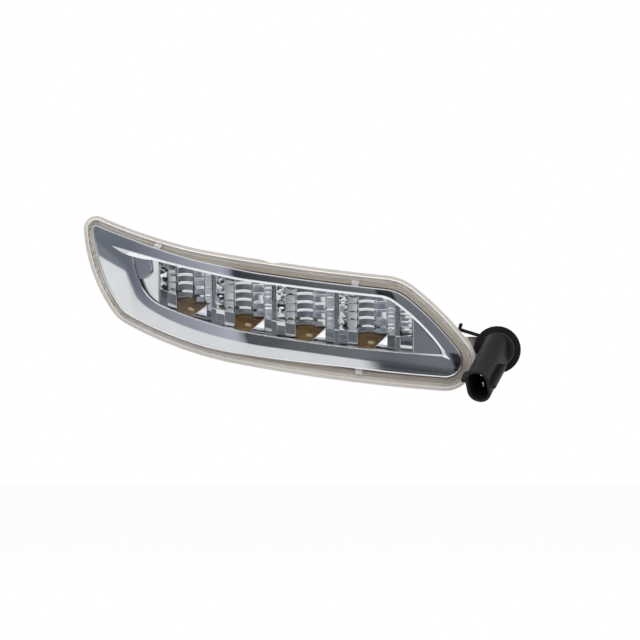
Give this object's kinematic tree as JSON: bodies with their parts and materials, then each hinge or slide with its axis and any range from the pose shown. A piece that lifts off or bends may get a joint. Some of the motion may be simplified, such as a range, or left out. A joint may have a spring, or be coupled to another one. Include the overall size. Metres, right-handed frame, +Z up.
{
  "type": "led marker lamp",
  "caption": "Swept vehicle marker lamp with a clear lens, chrome bezel, stepped LED reflector, sealed housing and angled plug socket.",
  "frame": {"origin": "root of the locating pin, on the plane of the rear bosses", "axes": "+X along the lamp towards the plug socket, +Y out of the back along the pin, +Z up; the lens looks along -Y"},
  "size_m": [0.2408, 0.0913, 0.1024],
  "materials": {
    "lens_clear": "clear polished",
    "sealant": "matt",
    "housing_greige": "fine satin",
    "bezel_chrome": "metallised mirror",
    "reflector_chrome": "metallised mirror",
    "flex_amber": "semi-gloss film",
    "led_body": "translucent",
    "aluminium": "plain",
    "board_green": "solder mask",
    "component_dark": "matt",
    "screw_steel": "zinc plated",
    "socket_black": "satin",
    "seal_rubber": "matt",
    "terminal_brass": "tinned",
    "lead_red": "insulation",
    "lead_black": "insulation"
  },
  "bodies": {
    "root": {"outer_lens": "lens_clear", "lens_sealant": "sealant", "housing": "housing_greige", "bezel": "bezel_chrome", "reflector": "reflector_chrome", "reflector_screws": "screw_steel", "flex_circuit": "flex_amber", "led_1": "led_body", "led_2": "led_body", "led_3": "led_body", "led_4": "led_body", "heat_spreader": "aluminium", "driver_board": "board_green", "board_screws": "screw_steel", "driver_chip": "component_dark", "driver_choke": "component_dark", "driver_capacitor": "aluminium", "connector_cap": "socket_black", "connector_gasket": "seal_rubber", "terminal_1": "terminal_brass", "terminal_2": "terminal_brass", "supply_lead_1": "lead_black", "supply_lead_2": "lead_red", "led_lead_1": "lead_black", "led_lead_2": "lead_red", "vent_cap": "seal_rubber"}
  },
  "joints": []
}
